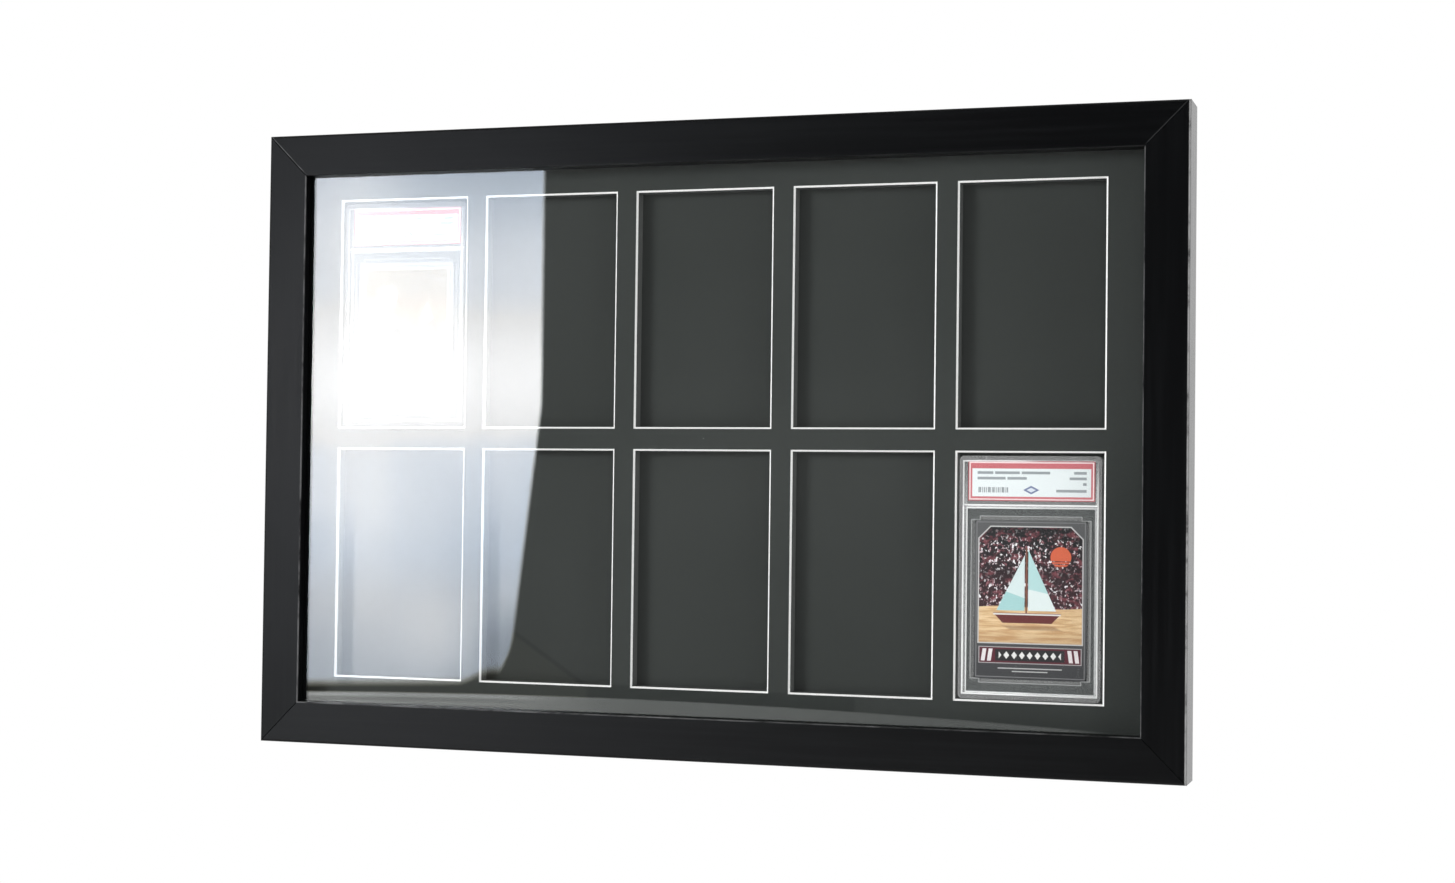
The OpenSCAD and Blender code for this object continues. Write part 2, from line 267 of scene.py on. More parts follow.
# Colours of the case: the dark and the pale end of each material, and its marks
LACQUER = ((0.0013, 0.0014, 0.0017), (0.003, 0.0033, 0.0037))
# Painted highlight colours of the lacquer: a pale line along the inner arrises and mitres, and a
# brighter one along the right outer arris
LACQUER_HIGHLIGHT = (0.16, 0.162, 0.165)
LACQUER_EDGE_HIGHLIGHT = (0.3, 0.3, 0.3)
GLASS = (0.985, 0.992, 0.99)
MOUNT_PAPER = ((0.022, 0.0256, 0.0242), (0.0427, 0.047, 0.0443))
WHITE_CORE = ((0.84, 0.84, 0.825), (0.97, 0.97, 0.96))
BACKING_PAPER = (0.03, 0.033, 0.032)
BLACK_FOAM = ((0.045, 0.048, 0.046), (0.1, 0.104, 0.102))
BLACK_LINER = ((0.0234, 0.0267, 0.0248), (0.0435, 0.0474, 0.0455))
HARDBOARD = ((0.13, 0.066, 0.032), (0.33, 0.19, 0.1))
DARK_FIBRE = (0.075, 0.036, 0.018)
PALE_FIBRE = (0.44, 0.28, 0.16)
DARK_CLUMP = (0.12, 0.062, 0.032)
PALE_CLOUD = (0.3, 0.185, 0.105)
PALE_SCUFF = (0.5, 0.36, 0.24)
# Darker brown along the board's edges
DARK_EDGE_BAND = (0.09, 0.05, 0.028)
BRIGHT_ZINC = ((0.46, 0.47, 0.48), (0.27, 0.28, 0.3))
DULL_ZINC = ((0.26, 0.26, 0.27), (0.13, 0.13, 0.14))
# Painted shade for zinc below its outer face, as in the screw recesses
ZINC_RECESS_SHADE = (0.06, 0.06, 0.062)
BLACK_RUBBER = ((0.012, 0.012, 0.013), (0.035, 0.035, 0.037))

# Stretch of the grain along a level and along an upright rail
LEVEL_GRAIN = (0.03, 1, 1)
UPRIGHT_GRAIN = (1, 1, 0.03)


def lacquer(name, stretch, gloss):
    """Satin black lacquer over close grain, with pale painted highlights along the inner arrises, the
    mitres and the right outer arris.
    """
    net = Net(name, IOR=1.5, Specular_IOR_Level=gloss)
    grain = net.noise(1.6, stretch, detail=4, rough=0.6)
    streak = net.noise(0.35, stretch, detail=2, offset=40)
    cloud = net.noise(0.012, detail=2, offset=9)
    tone = net.blend(streak.step(0.35, 0.75), *LACQUER)
    across = net.x.abs() - SIGHT[0]
    upward = net.z.abs() - SIGHT[1]
    # Painted highlight along the inner arrises, faint on the top rail, broken up by noise
    under_top = 1 - 0.9 * (net.z - SIGHT[1] - across).step(-1.5, 0.5)
    arris = cover((across.high(upward) - 0.3).abs() - 0.35, 0.3) * cover(net.y - ARRIS_DEPTH, 0.3)
    highlight_breakup = net.noise(0.05, detail=5, rough=0.7, offset=66)
    # The painted highlights are stronger on the left, towards the light
    left = net.x.step(60, -60)
    arris_highlight = arris * under_top * highlight_breakup.step(0.3, 0.65) * (0.6 + 0.4 * left)
    # Painted highlight along the mitres
    mitre_line = ((upward - across) * math.sqrt(0.5) - 0.55).abs() - 0.25
    mitre = cover(mitre_line, 0.3) * cover(net.y - MITRE_DEPTH, 0.2)
    mitre = mitre * across.step(0, 3) * net.z.step(-90, 60) * highlight_breakup.step(0.35, 0.6)
    # Painted highlight along the right outer arris of the front
    corner = cover((net.x - CASE[0] + 0.6).abs() - 0.45, 0.3) * cover(net.y - CORNER_DEPTH, 0.4)
    arris_highlight = arris_highlight.high(mitre * (0.16 + 0.44 * left))
    tone = net.blend(arris_highlight * 0.85, tone, LACQUER_HIGHLIGHT)
    tone = net.blend(corner * highlight_breakup.step(0.25, 0.55), tone, LACQUER_EDGE_HIGHLIGHT)
    side = (net.x.abs() - CASE[0]).high(net.z.abs() - CASE[1]).step(-0.9, -0.1)
    rough = 0.27 + 0.08 * streak + 0.05 * (cloud - 0.5) + 0.05 * grain - 0.15 * side
    return net.finish(tone, rough, grain * 0.7 + streak * 0.5, 0.035)


def glazing():
    net = Net("clear_glazing", Transmission_Weight=1.0, IOR=1.5, Base_Color=(*GLASS, 1))
    smear = net.noise(0.02, detail=3, offset=5).step(0.55, 0.8)
    net.feed("Roughness", smear * 0.004)
    return net.material


def mount_paper():
    net = Net("black_mount_paper", Specular_IOR_Level=0.3)
    fibre = net.noise(2.4, (1, 1, 0.5), detail=4, rough=0.65)
    fleck = net.noise(0.9, (0.4, 1, 1), detail=3, offset=30)
    cloud = net.noise(0.008, detail=2, offset=3)
    share = 0.35 * fibre + 0.35 * fleck + 0.5 * (cloud - 0.3)
    tone = net.blend(share, *MOUNT_PAPER)
    return net.finish(tone, 0.82 + 0.12 * fibre, fibre * 0.6 + fleck * 0.4, 0.03)


def mount_core():
    """White core of the mount over its black backing paper."""
    net = Net("white_mount_core", Specular_IOR_Level=0.3)
    fibre = net.noise(3.5, (0.3, 1, 0.3), detail=4, rough=0.6)
    tone = net.blend(fibre, *WHITE_CORE)
    tone = net.blend(cover(BACKING_DEPTH - net.y, 0.06), tone, BACKING_PAPER)
    return net.finish(tone, 0.85 + 0.1 * fibre, fibre, 0.02)


def foam():
    net = Net("black_foam_strip", Specular_IOR_Level=0.25)
    cell = net.cells(2.2)
    grit = net.noise(3.0, detail=3)
    tone = net.blend(cell, *BLACK_FOAM)
    return net.finish(tone, 0.88 + 0.1 * grit, cell * 0.8 + grit * 0.3, 0.12)


def liner():
    net = Net("black_foam_board", Specular_IOR_Level=0.25)
    fibre = net.noise(2.0, (1, 1, 0.4), detail=4, rough=0.6)
    cloud = net.noise(0.012, detail=2, offset=17)
    tone = net.blend(0.6 * fibre + 0.5 * (cloud - 0.3), *BLACK_LINER)
    return net.finish(tone, 0.85 + 0.1 * fibre, fibre, 0.03)


def hardboard():
    """Brown pressed fibre board: long fibres, dark clumps, pale scuffs, and darker within about 9 mm
    of its edges.
    """
    net = Net("brown_hardboard", Specular_IOR_Level=0.3)
    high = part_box("back_panel")[1]
    fine = net.noise(0.9, (1, 1, 0.6), detail=6, rough=0.7)
    across = net.noise(0.55, (0.35, 1, 1), detail=5, rough=0.7, offset=12)
    upward = net.noise(0.55, (1, 1, 0.4), detail=5, rough=0.7, offset=37)
    clump = net.noise(0.09, (0.7, 1, 1), detail=5, rough=0.65, offset=2)
    cloud = net.noise(0.012, detail=3, offset=54)
    scuff = net.noise(0.05, (0.15, 1, 1.2), detail=6, rough=0.7, offset=80)
    side = (high[0] * MILLIMETRES - net.x.abs()).low(high[2] * MILLIMETRES - net.z.abs())
    marks = (
        (across.step(0.56, 0.72) * 0.55, DARK_FIBRE),
        (upward.step(0.44, 0.3) * 0.4, PALE_FIBRE),
        (clump.step(0.5, 0.68) * 0.4, DARK_CLUMP),
        (cloud.step(0.4, 0.62) * 0.4, PALE_CLOUD),
        (scuff.step(0.66, 0.74) * 0.25, PALE_SCUFF),
        (side.step(9, 0) * (0.25 + 0.5 * clump), DARK_EDGE_BAND),
    )
    tone = net.blend(fine, *HARDBOARD)
    for share, colour in marks:
        tone = net.blend(share, tone, colour)
    height = fine * 0.5 + across * 0.4 + upward * 0.3
    return net.finish(tone, 0.42 + 0.3 * fine + 0.15 * clump, height, 0.09)


def zinc(name, node, light, dark):
    """Zinc plated steel, brushed and clouded; below its outer face, as in the screw recesses, it is
    rougher and darkened with painted shade.
    """
    net = Net(name, Metallic=1.0)
    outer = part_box(node)[1][1] * MILLIMETRES
    brush = net.noise(2.5, (0.25, 1, 2), detail=3)
    cloud = net.noise(0.2, detail=4, rough=0.6, offset=6)
    spangle = net.cells(0.5)
    share = 0.5 * cloud.step(0.35, 0.65) + 0.3 * spangle + 0.2 * brush
    sunk = (outer - net.y).step(0.15, 0.9)
    # Painted shade darkens what lies below the outer face, which is also rougher there
    tone = net.blend(sunk * 0.75, net.blend(share, light, dark), ZINC_RECESS_SHADE)
    rough = 0.26 + 0.16 * cloud + 0.12 * brush + 0.15 * sunk
    return net.finish(tone, rough, brush * 0.6 + spangle * 0.2, 0.012)


def rubber():
    net = Net("black_rubber", Specular_IOR_Level=0.4)
    grit = net.noise(2.5, detail=4)
    return net.finish(net.blend(grit, *BLACK_RUBBER), 0.6 + 0.2 * grit, grit, 0.08)


class Print:
    """Flat shapes laid over each other, in millimetres from a centre, as a printed design."""

    def __init__(self, net, centre, ground=None):
        self.net = net
        self.x = net.x - centre[0]
        self.z = net.z - centre[1]
        self.colour = ground

    def lay(self, mask, colour):
        """Lays a colour, a tuple or a socket, over the design where the mask is 1."""
        self.colour = self.net.blend(mask, self.colour, colour)

    def outside(self, cx, cz, wide, high):
        """How far a point lies outside a box, below zero inside it."""
        return ((self.x - cx).abs() - wide / 2).high((self.z - cz).abs() - high / 2)

    def box(self, cx, cz, wide, high, soft=0.12):
        """1 inside a box."""
        return cover(self.outside(cx, cz, wide, high), soft)

    def line(self, cx, cz, wide, high, thick, soft=0.3):
        """1 along the outline of a box."""
        return cover(self.outside(cx, cz, wide, high).abs() - thick / 2, soft)

    def disc(self, cx, cz, radius, soft=0.15):
        """1 inside a circle."""
        return cover(length(self.x - cx, self.z - cz) - radius, soft)

    def below(self, ax, az, bx, bz, soft=0.12):
        """1 on the right of the way from a to b."""
        long = math.hypot(bx - ax, bz - az)
        away = (self.z - az) * ((bx - ax) / long) - (self.x - ax) * ((bz - az) / long)
        return cover(away, soft)

    def shape(self, *corners, soft=0.12):
        """1 inside a convex shape."""
        pairs = zip(corners, corners[1:] + corners[:1])
        if sum(ax * bz - bx * az for (ax, az), (bx, bz) in pairs) > 0:
            corners = corners[::-1]
        mask = None
        for (ax, az), (bx, bz) in zip(corners, corners[1:] + corners[:1]):
            side = self.below(ax, az, bx, bz, soft)
            mask = side if mask is None else mask.low(side)
        return mask


# Materials of the card holders


def middle(name):
    """X and Z of a node's middle, in millimetres."""
    low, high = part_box(name)
    return (low[0] + high[0]) / 2 * MILLIMETRES, (low[2] + high[2]) / 2 * MILLIMETRES


# Sizes of a holder from its middle, in millimetres
SLAB_WIDE = 80
SLAB_HIGH = 136
RIM_WIDE = 2.2
RIM_END_WIDE = 2.9
WELL_WIDE = 72.4
CARD_WELL = (-64.2, 38.8)
LABEL_WELL = (40.5, 65.8)
CARD_WIDE = 63.5
CARD_HIGH = 88.9
OPENING_WIDE = 66.9
OPENING_HIGH = 92.7
OPENING_STEP = (5, 2.2)

# Depths from the plane where the two shells of a holder meet, in millimetres
SKIN_FROM = 1.5
WELL_EDGE_DEPTH = -0.25
WELL_EDGE_HALF = 0.5
WELL_FLOOR_DEPTH = 0.5
WELL_FLOOR_HALF = 0.15

# How pale and hazy the parts of a holder's mouldings are: partly the moulding's haze, partly painted
# highlights where its edges would catch the light
RIM_MILK = 0.2
DIVIDER_HIGHLIGHT = 0.85
CARD_RING_MILK = 0.2
LABEL_FLOOR_MILK = 0.16
SCRATCH_MILK = 0.02
# Widths of the pale lines along the rim and the wells, in millimetres; these lines are painted
# highlights
RIM_LINE = 0.8
WELL_LINE = 0.7

# Colours of the holders
CLEAR_SHELL = (0.974, 0.98, 0.98)
FROST = ((0.15, 0.16, 0.16), (0.24, 0.25, 0.25))
CUT_FROST = (0.7, 0.71, 0.71)


def holder_shell(name, shell, card, haze_and_highlight_share):
    """Clear moulding, hazy and pale in its rim, with painted highlights as pale lines along the rim,
    the wells and the divider.
    """
    net = Net(name, IOR=1.1, Specular_IOR_Level=0.1, Base_Color=(*CLEAR_SHELL, 1))
    page = Print(net, middle(shell))
    inward = net.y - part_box(shell)[1][1] * MILLIMETRES
    skin = cover(SKIN_FROM - inward.abs(), 0.2)
    well_edge = cover((inward - WELL_EDGE_DEPTH).abs() - WELL_EDGE_HALF, 0.1)
    well_floor = cover((inward - WELL_FLOOR_DEPTH).abs() - WELL_FLOOR_HALF, 0.05)
    beside_card = page.z.step(LABEL_WELL[0], CARD_WELL[1])
    below_label = page.z.step(LABEL_WELL[1], LABEL_WELL[0])
    # The painted highlight lines are stronger on the left, towards the light, and beside the card and
    # below the label
    left = page.x.step(10, -10)
    sight = (0, 0, SLAB_WIDE - 2 * RIM_WIDE, SLAB_HIGH - 2 * RIM_END_WIDE)
    rim = (1 - page.box(*sight)) * RIM_MILK
    rim_share = 0.16 + 0.2 * left + 0.34 * below_label + 0.2 * beside_card
    rim_share = rim_share + 0.3 * left * (1 - below_label)
    rim_line = page.line(*sight, RIM_LINE) * rim_share
    card_well = (0, sum(CARD_WELL) / 2, WELL_WIDE, CARD_WELL[1] - CARD_WELL[0])
    well_line = page.line(*card_well, WELL_LINE) * (0.35 + 0.4 * left)
    land = (page.box(*sight) - page.box(*card_well)).clamp() * (0.03 + 0.04 * below_label)
    divider = page.box(0, LABEL_WELL[0], sight[2], WELL_LINE, 0.3) * DIVIDER_HIGHLIGHT
    away = (0, middle(card)[1] - middle(shell)[1])
    ring = page.box(*away, OPENING_WIDE, OPENING_HIGH) - page.box(*away, CARD_WIDE, CARD_HIGH)
    label_well = page.box(0, sum(LABEL_WELL) / 2, WELL_WIDE, LABEL_WELL[1] - LABEL_WELL[0])
    haze = net.noise(0.06, detail=3, offset=8)
    scratch = net.noise(0.35, (1, 1, 0.1), detail=4, offset=31).step(0.62, 0.75)
    # Haze of the rim and the floors, painted highlights along the edges and the divider, and real
    # scratches
    in_skin = skin * rim.high(rim_line)
    at_edges = well_edge * well_line.high(divider).high(land)
    on_floor = (ring.clamp() * CARD_RING_MILK).high(label_well * LABEL_FLOOR_MILK) * well_floor
    haze_and_highlight = (in_skin + at_edges + on_floor) * haze_and_highlight_share + SCRATCH_MILK * scratch
    net.feed("Transmission Weight", (1 - haze_and_highlight).clamp())
    net.feed("Roughness", haze.step(0.4, 0.8) * 0.05 + 0.01)
    return net.material


def gasket(name, card):
    """Frosted clear sheet, brighter along its cut opening."""
    net = Net(name, Roughness=0.6, Alpha=0.34, Specular_IOR_Level=0.05)
    page = Print(net, middle(card))
    tall = page.outside(0, 0, OPENING_WIDE, OPENING_HIGH - 2 * OPENING_STEP[1])
    slim = page.outside(0, 0, OPENING_WIDE - 2 * OPENING_STEP[0], OPENING_HIGH)
    cut = cover(tall.low(slim) - 0.45, 0.3)
    frost = net.noise(4.5, detail=4)
    cloud = net.noise(0.08, detail=2, offset=14)
    tone = net.blend(frost * 0.6 + cloud * 0.4, *FROST)
    net.feed("Base Color", net.blend(cut, tone, CUT_FROST))
    net.bump(frost, 0.02)
    return net.material


# Colours of the back of a card and of a label, and of the grain in both
CARD_BORDER = (0.82, 0.83, 0.84)
BACK_BLUE = (0.02, 0.035, 0.09)
LATTICE_BLUE = (0.16, 0.24, 0.42)
MEDALLION = (0.5, 0.42, 0.2)
LABEL_BACK = (0.86, 0.86, 0.85)
CARD_GRAIN = (0.3, 0.3, 0.3)
LABEL_GRAIN = (0.5, 0.5, 0.5)


def card_back(net, page):
    """Plain lattice for the back of a card."""
    rising = ((page.x + page.z).wrap(-2, 2).abs() - 1).abs()
    falling = ((page.x - page.z).wrap(-2, 2).abs() - 1).abs()
    tone = net.blend(cover(rising.low(falling) - 0.12, 0.1), BACK_BLUE, LATTICE_BLUE)
    tone = net.blend(page.box(0, 0, 54, 79), CARD_BORDER, tone)
    tone = net.blend(page.box(0, 0, 30, 18), tone, CARD_BORDER)
    tone = net.blend(page.box(0, 0, 28.4, 16.4), tone, BACK_BLUE)
    return net.blend(page.disc(0, 0, 5), tone, MEDALLION)


def card_finish(net, page):
    """Puts the design on the front and the lattice on the back, under a faint grain."""
    back = cover(CARD_MIDDLE - net.y, 0.05)
    tone = net.blend(back, page.colour, card_back(net, page))
    grain = net.noise(1.5, detail=3)
    return net.finish(net.blend(grain * 0.12, tone, CARD_GRAIN), 0.28 + 0.1 * grain, grain, 0.01)


# Colours of the lower card
CHARCOAL = (0.1, 0.102, 0.105)
CHARCOAL_FOOT = (0.045, 0.046, 0.05)
FRAME_LINE = (0.2, 0.2, 0.205)
WINDOW_RIM = (0.55, 0.54, 0.54)
NIGHT = ((0.006, 0.006, 0.008), (0.035, 0.01, 0.015))
RED_GLOW = (0.2, 0.05, 0.065)
SAND = ((0.6, 0.36, 0.17), (0.84, 0.62, 0.36))
WET_SAND = (0.34, 0.17, 0.07)
SAND_SHADE = (0.3, 0.17, 0.09)
SUN = (0.66, 0.13, 0.06)
MAST = (0.2, 0.08, 0.045)
FORE_SAIL = (0.7, 0.82, 0.82)
FORE_SAIL_FOOT = (0.4, 0.66, 0.66)
MAIN_SAIL = (0.48, 0.72, 0.72)
MAIN_SAIL_FOOT = (0.78, 0.87, 0.86)
HULL = (0.14, 0.028, 0.028)
GUNWALE = (0.8, 0.78, 0.76)
PANEL_EDGE = (0.4, 0.38, 0.385)
PANEL = (0.1, 0.014, 0.026)
PANEL_MIDDLE = (0.02, 0.02, 0.022)
LOZENGE = (0.8, 0.79, 0.78)
SLANT_BAR = (0.82, 0.77, 0.78)
FOOT_BAR = (0.5, 0.5, 0.5)

# Seed and colour of the three kinds of lights over the bay
BAY_LIGHTS = ((77, (0.3, 0.12, 0.14)), (5, (0.62, 0.5, 0.53)), (140, (0.92, 0.9, 0.92)))

# Corners of the window in the frame of the lower card, and of the rim round it
CARD_WINDOW = ((-29, -24), (-29, 34), (-22.5, 40.5), (22.5, 40.5), (29, 34), (29, -24))
CARD_WINDOW_RIM = (
    (-29.7, -24.7),
    (-29.7, 34.3),
    (-22.8, 41.2),
    (22.8, 41.2),
    (29.7, 34.3),
    (29.7, -24.7),
)

# Z of the middle of the panel under the picture, of the lower edge of the sun's cut, and of the shore
PANEL_Z = -31
SUN_CUT_Z = 22.4
SHORE_Z = -4.2


def night_sky(net, page):
    """Lights over a dusky bay, closest in two bands."""
    sky = net.blend(page.z.step(36, -6), *NIGHT)
    glow = net.noise(0.2, (1, 1, 1.6), detail=4, rough=0.6, offset=21)
    sky = net.blend(glow.step(0.5, 0.66) * 0.8, sky, RED_GLOW)
    band = page.z.step(38, 31) * page.z.step(14, 20)
    band = band.high(page.z.step(14, 8) * page.z.step(-6, -3))
    for seed, tone in BAY_LIGHTS:
        spark = net.noise(0.55, (1, 1, 0.8), detail=3, rough=0.6, offset=seed)
        sky = net.blend(spark.step(0.595, 0.63) * (0.15 + 0.85 * band), sky, tone)
    return sky


def pale_sand(net, page):
    """Rippled sand, darker towards the front."""
    wave = net.noise(0.25, (0.25, 1, 2.4), detail=4, offset=50)
    sand = net.blend(wave.step(0.35, 0.65), *SAND)
    return net.blend(page.z.step(-14, -24) * 0.4, sand, WET_SAND)


def lower_card():
    """Lights over a dusky bay and a sailing boat on pale sand, in a charcoal frame."""
    net = Net("card_stock_dusk", Specular_IOR_Level=0.08)
    page = Print(net, middle("lower_card"), CHARCOAL)
    page.lay(page.z.step(10, -44), CHARCOAL_FOOT)
    page.lay(page.line(0, 0, 61, 86.4, 0.5, 0.15), FRAME_LINE)
    page.lay(page.shape(*CARD_WINDOW_RIM), WINDOW_RIM)
    shore = cover(page.z - SHORE_Z + (page.x * 0.11).math("SINE") * 0.7, 0.3)
    view = net.blend(shore, night_sky(net, page), pale_sand(net, page))
    page.lay(page.shape(*CARD_WINDOW), view)
    stripes = cover((page.z - SUN_CUT_Z).wrap(-0.75, 0.75).abs() - 0.5, 0.1)
    page.lay(page.disc(17, 24, 5.8) * stripes.high(cover(SUN_CUT_Z - page.z, 0.1)), SUN)
    page.lay(page.box(-2.2, 10, 0.9, 38), MAST)
    page.lay(page.shape((-19, -6), (-3.2, 25), (-3.2, -6), soft=0.15), FORE_SAIL)
    foot = ((-19, -6), (-13.6, 4.5), (-3.2, 1), (-3.2, -6))
    page.lay(page.shape(*foot, soft=0.15), FORE_SAIL_FOOT)
    page.lay(page.shape((-1.2, -6), (-1.2, 28), (14.5, -6), soft=0.15), MAIN_SAIL)
    foot = ((-1.2, -6), (-1.2, 6), (10, 3.6), (14.5, -6))
    page.lay(page.shape(*foot, soft=0.15), MAIN_SAIL_FOOT)
    page.lay(page.shape((-21, -7.4), (17.5, -7.4), (12, -13), (-15.5, -13)), HULL)
    page.lay(page.box(-1.8, -8.1, 38, 0.8), GUNWALE)
    shade = page.shape((-16, -14.4), (13, -14.4), (18, -16.8), (-11, -16.8), soft=0.8)
    page.lay(shade * 0.6, SAND_SHADE)
    page.lay(page.box(0, PANEL_Z, 58, 9.4), PANEL_EDGE)
    page.lay(page.box(0, PANEL_Z, 57, 8.4), PANEL)
    page.lay(page.box(0, PANEL_Z, 39, 6.4), PANEL_MIDDLE)
    lozenge = (page.x.wrap(-2.2, 2.2).abs() * 1.3 + (page.z - PANEL_Z).abs()) - 2.1
    page.lay(cover(lozenge, 0.15) * page.box(0, PANEL_Z, 35, 6), LOZENGE)
    for side in (-1, 1):
        for cx in (22, 25.5):
            slant = ((cx, -34.4), (cx + 2.2, -34.4), (cx + 1.2, -27.6), (cx - 1, -27.6))
            page.lay(page.shape(*[(side * x, z) for x, z in slant]), SLANT_BAR)
    for cz, wide in ((-38.3, 36), (-40, 20)):
        page.lay(page.box(0, cz, wide, 0.6), FOOT_BAR)
    return card_finish(net, page)


# Colours of the upper card
GREY_FRAME = (0.2, 0.2, 0.21)
GREY_LINE = (0.5, 0.5, 0.51)
PICTURE_RIM = (0.6, 0.6, 0.6)
EVENING = ((0.2, 0.16, 0.1), (0.3, 0.21, 0.17))
MIST = (0.45, 0.43, 0.45)
MOON = (0.8, 0.78, 0.72)
NEAR_HILL = (0.12, 0.11, 0.1)
FAR_HILL = (0.15, 0.13, 0.11)
SNOW = (0.6, 0.64, 0.68)
LAKE = ((0.1, 0.17, 0.23), (0.22, 0.29, 0.33))
RED_BAR = (0.4, 0.12, 0.13)


def upper_card():
    """Hills over a lake under a moon, in a grey frame."""
    net = Net("card_stock_hills", Specular_IOR_Level=0.08)
    page = Print(net, middle("upper_card"), GREY_FRAME)
    inside = page.box(0, 3, 55, 74)
    page.lay(page.line(0, 0, 61, 86.4, 0.5, 0.15), GREY_LINE)
    page.lay(page.box(0, 3, 56.4, 75.4), PICTURE_RIM)
    sky = net.blend(page.z.step(34, -16), *EVENING)
    mist = net.noise(0.12, (0.5, 1, 1.6), detail=4, offset=60)
    page.lay(inside, net.blend(mist.step(0.5, 0.75) * 0.4, sky, MIST))
    page.lay(page.disc(-12, 24, 6), MOON)
    page.lay(page.shape((-27, -16), (-9, 12), (11, -16), soft=0.2) * inside, NEAR_HILL)
    page.lay(page.shape((-13.2, 5.4), (-9, 12), (-4.4, 5.4), (-9, 3), soft=0.2), SNOW)
    far_hill = page.shape((-4, -16), (14, 19), (27.4, -8), (27.4, -16), soft=0.2)
    page.lay(far_hill * inside, FAR_HILL)
    page.lay(page.shape((9.4, 10), (14, 19), (18.4, 10), (14, 7), soft=0.2), SNOW)
    wave = net.noise(0.3, (0.2, 1, 2.2), detail=3)
    page.lay(page.box(0, -25, 55, 18), net.blend(wave.step(0.4, 0.6), *LAKE))
    page.lay(page.box(0, -39.6, 40, 4), RED_BAR)
    return card_finish(net, page)


# Colours of a label, and its boxes from the outside in: middle z, width, height and colour
LABEL_RED = (0.42, 0.07, 0.085)
LABEL_BOXES = (
    (0, 70.3, 21.2, (0.93, 0.76, 0.77)),
    (0, 68.9, 19.9, (0.58, 0.13, 0.15)),
    (-0.9, 66.9, 15.7, (0.82, 0.88, 0.89)),
)
BAR_GREY = (0.16, 0.19, 0.21)
MARK_BLUE = (0.13, 0.17, 0.33)
MARK_PALE = (0.7, 0.76, 0.84)

# Bars on a label: those that start at an x, and those that end at one, then middle z and width
BAR_HIGH = 1.5
BARS_FROM = ((-30.5, 4.6, 9), (-20.5, 4.6, 14), (-5.4, 4.6, 16), (-30.5, 1.5, 16), (-13.5, 1.5, 11))
BARS_TO = ((31, 4.6, 7), (31, 1.5, 9.5), (31, -1.6, 2), (31, -5.4, 17))


def label(name, node):
    """Red bordered paper label with plain bars and a lozenge."""
    net = Net(name, Specular_IOR_Level=0.08)
    page = Print(net, middle(node), LABEL_RED)
    for cz, wide, high, colour in LABEL_BOXES:
        page.lay(page.box(0, cz, wide, high), colour)
    for start, cz, wide in BARS_FROM:
        page.lay(page.box(start + wide / 2, cz, wide, BAR_HIGH) * 0.8, BAR_GREY)
    for end, cz, wide in BARS_TO:
        page.lay(page.box(end - wide / 2, cz, wide, BAR_HIGH) * 0.8, BAR_GREY)
    stripe = cover(page.x.wrap(-0.55, 0.55).abs() - 0.24, 0.1)
    wider = cover((page.x + 0.4).wrap(-1.3, 1.3).abs() - 0.35, 0.1)
    page.lay(page.box(-21.5, -5, 17, 3) * stripe.high(wider) * 0.85, BAR_GREY)
    page.lay(page.shape((-4.6, -5), (0, -2.6), (4.6, -5), (0, -7.4)), MARK_BLUE)
    page.lay(page.shape((-2.6, -5), (0, -3.7), (2.6, -5), (0, -6.3)), MARK_PALE)
    tone = net.blend(cover(LABEL_MIDDLE - net.y, 0.02), page.colour, LABEL_BACK)
    grain = net.noise(2, detail=3)
    return net.finish(net.blend(grain * 0.1, tone, LABEL_GRAIN), 0.3 + 0.12 * grain, grain, 0.012)


# Each node takes its material

level_lacquer = lacquer("black_lacquer_level", LEVEL_GRAIN, 0.13)
upright_lacquer = lacquer("black_lacquer_upright", UPRIGHT_GRAIN, 0.13)
finishes = {
    "rail_top": level_lacquer,
    "rail_bottom": lacquer("black_lacquer_low", LEVEL_GRAIN, 0.165),
    "rail_left": upright_lacquer,
    "rail_right": upright_lacquer,
    "corner_v_nails": zinc("dull_steel", "corner_v_nails", *DULL_ZINC),
    "turn_button_screws": zinc("screw_zinc_buttons", "turn_button_screws", *BRIGHT_ZINC),
    "hanger_screws": zinc("screw_zinc_hangers", "hanger_screws", *BRIGHT_ZINC),
    "glazing": glazing(),
    "spacer_bars": level_lacquer,
    "mount_facing": mount_paper(),
    "mount_core": mount_core(),
    "pocket_strips": foam(),
    "back_liner": liner(),
    "back_panel": hardboard(),
    "wall_pads": rubber(),
    "lower_card": lower_card(),
    "upper_card": upper_card(),
    "lower_slab_label": label("label_paper_lower", "lower_slab_label"),
    "upper_slab_label": label("label_paper_upper", "upper_slab_label"),
}
# How strong the haze and painted highlights of each holder are, against full; the upper holder, in the
# window's glare, gets half
for row, haze_and_highlight_share in (("lower", 1.0), ("upper", 0.5)):
    clear = holder_shell(f"clear_shell_{row}", f"{row}_slab_front", f"{row}_card", haze_and_highlight_share)
    finishes[f"{row}_slab_front"] = clear
    finishes[f"{row}_slab_rear"] = clear
    finishes[f"{row}_slab_gasket"] = gasket(f"frosted_gasket_{row}", f"{row}_card")
# Nodes whose names start alike share a material
plated = {
    "turn_button": zinc("plated_buttons", "turn_button_left", *BRIGHT_ZINC),
    "hanger_strap": zinc("plated_straps", "hanger_strap_left", *BRIGHT_ZINC),
    "d_ring": zinc("plated_rings", "d_ring_left", *BRIGHT_ZINC),
}
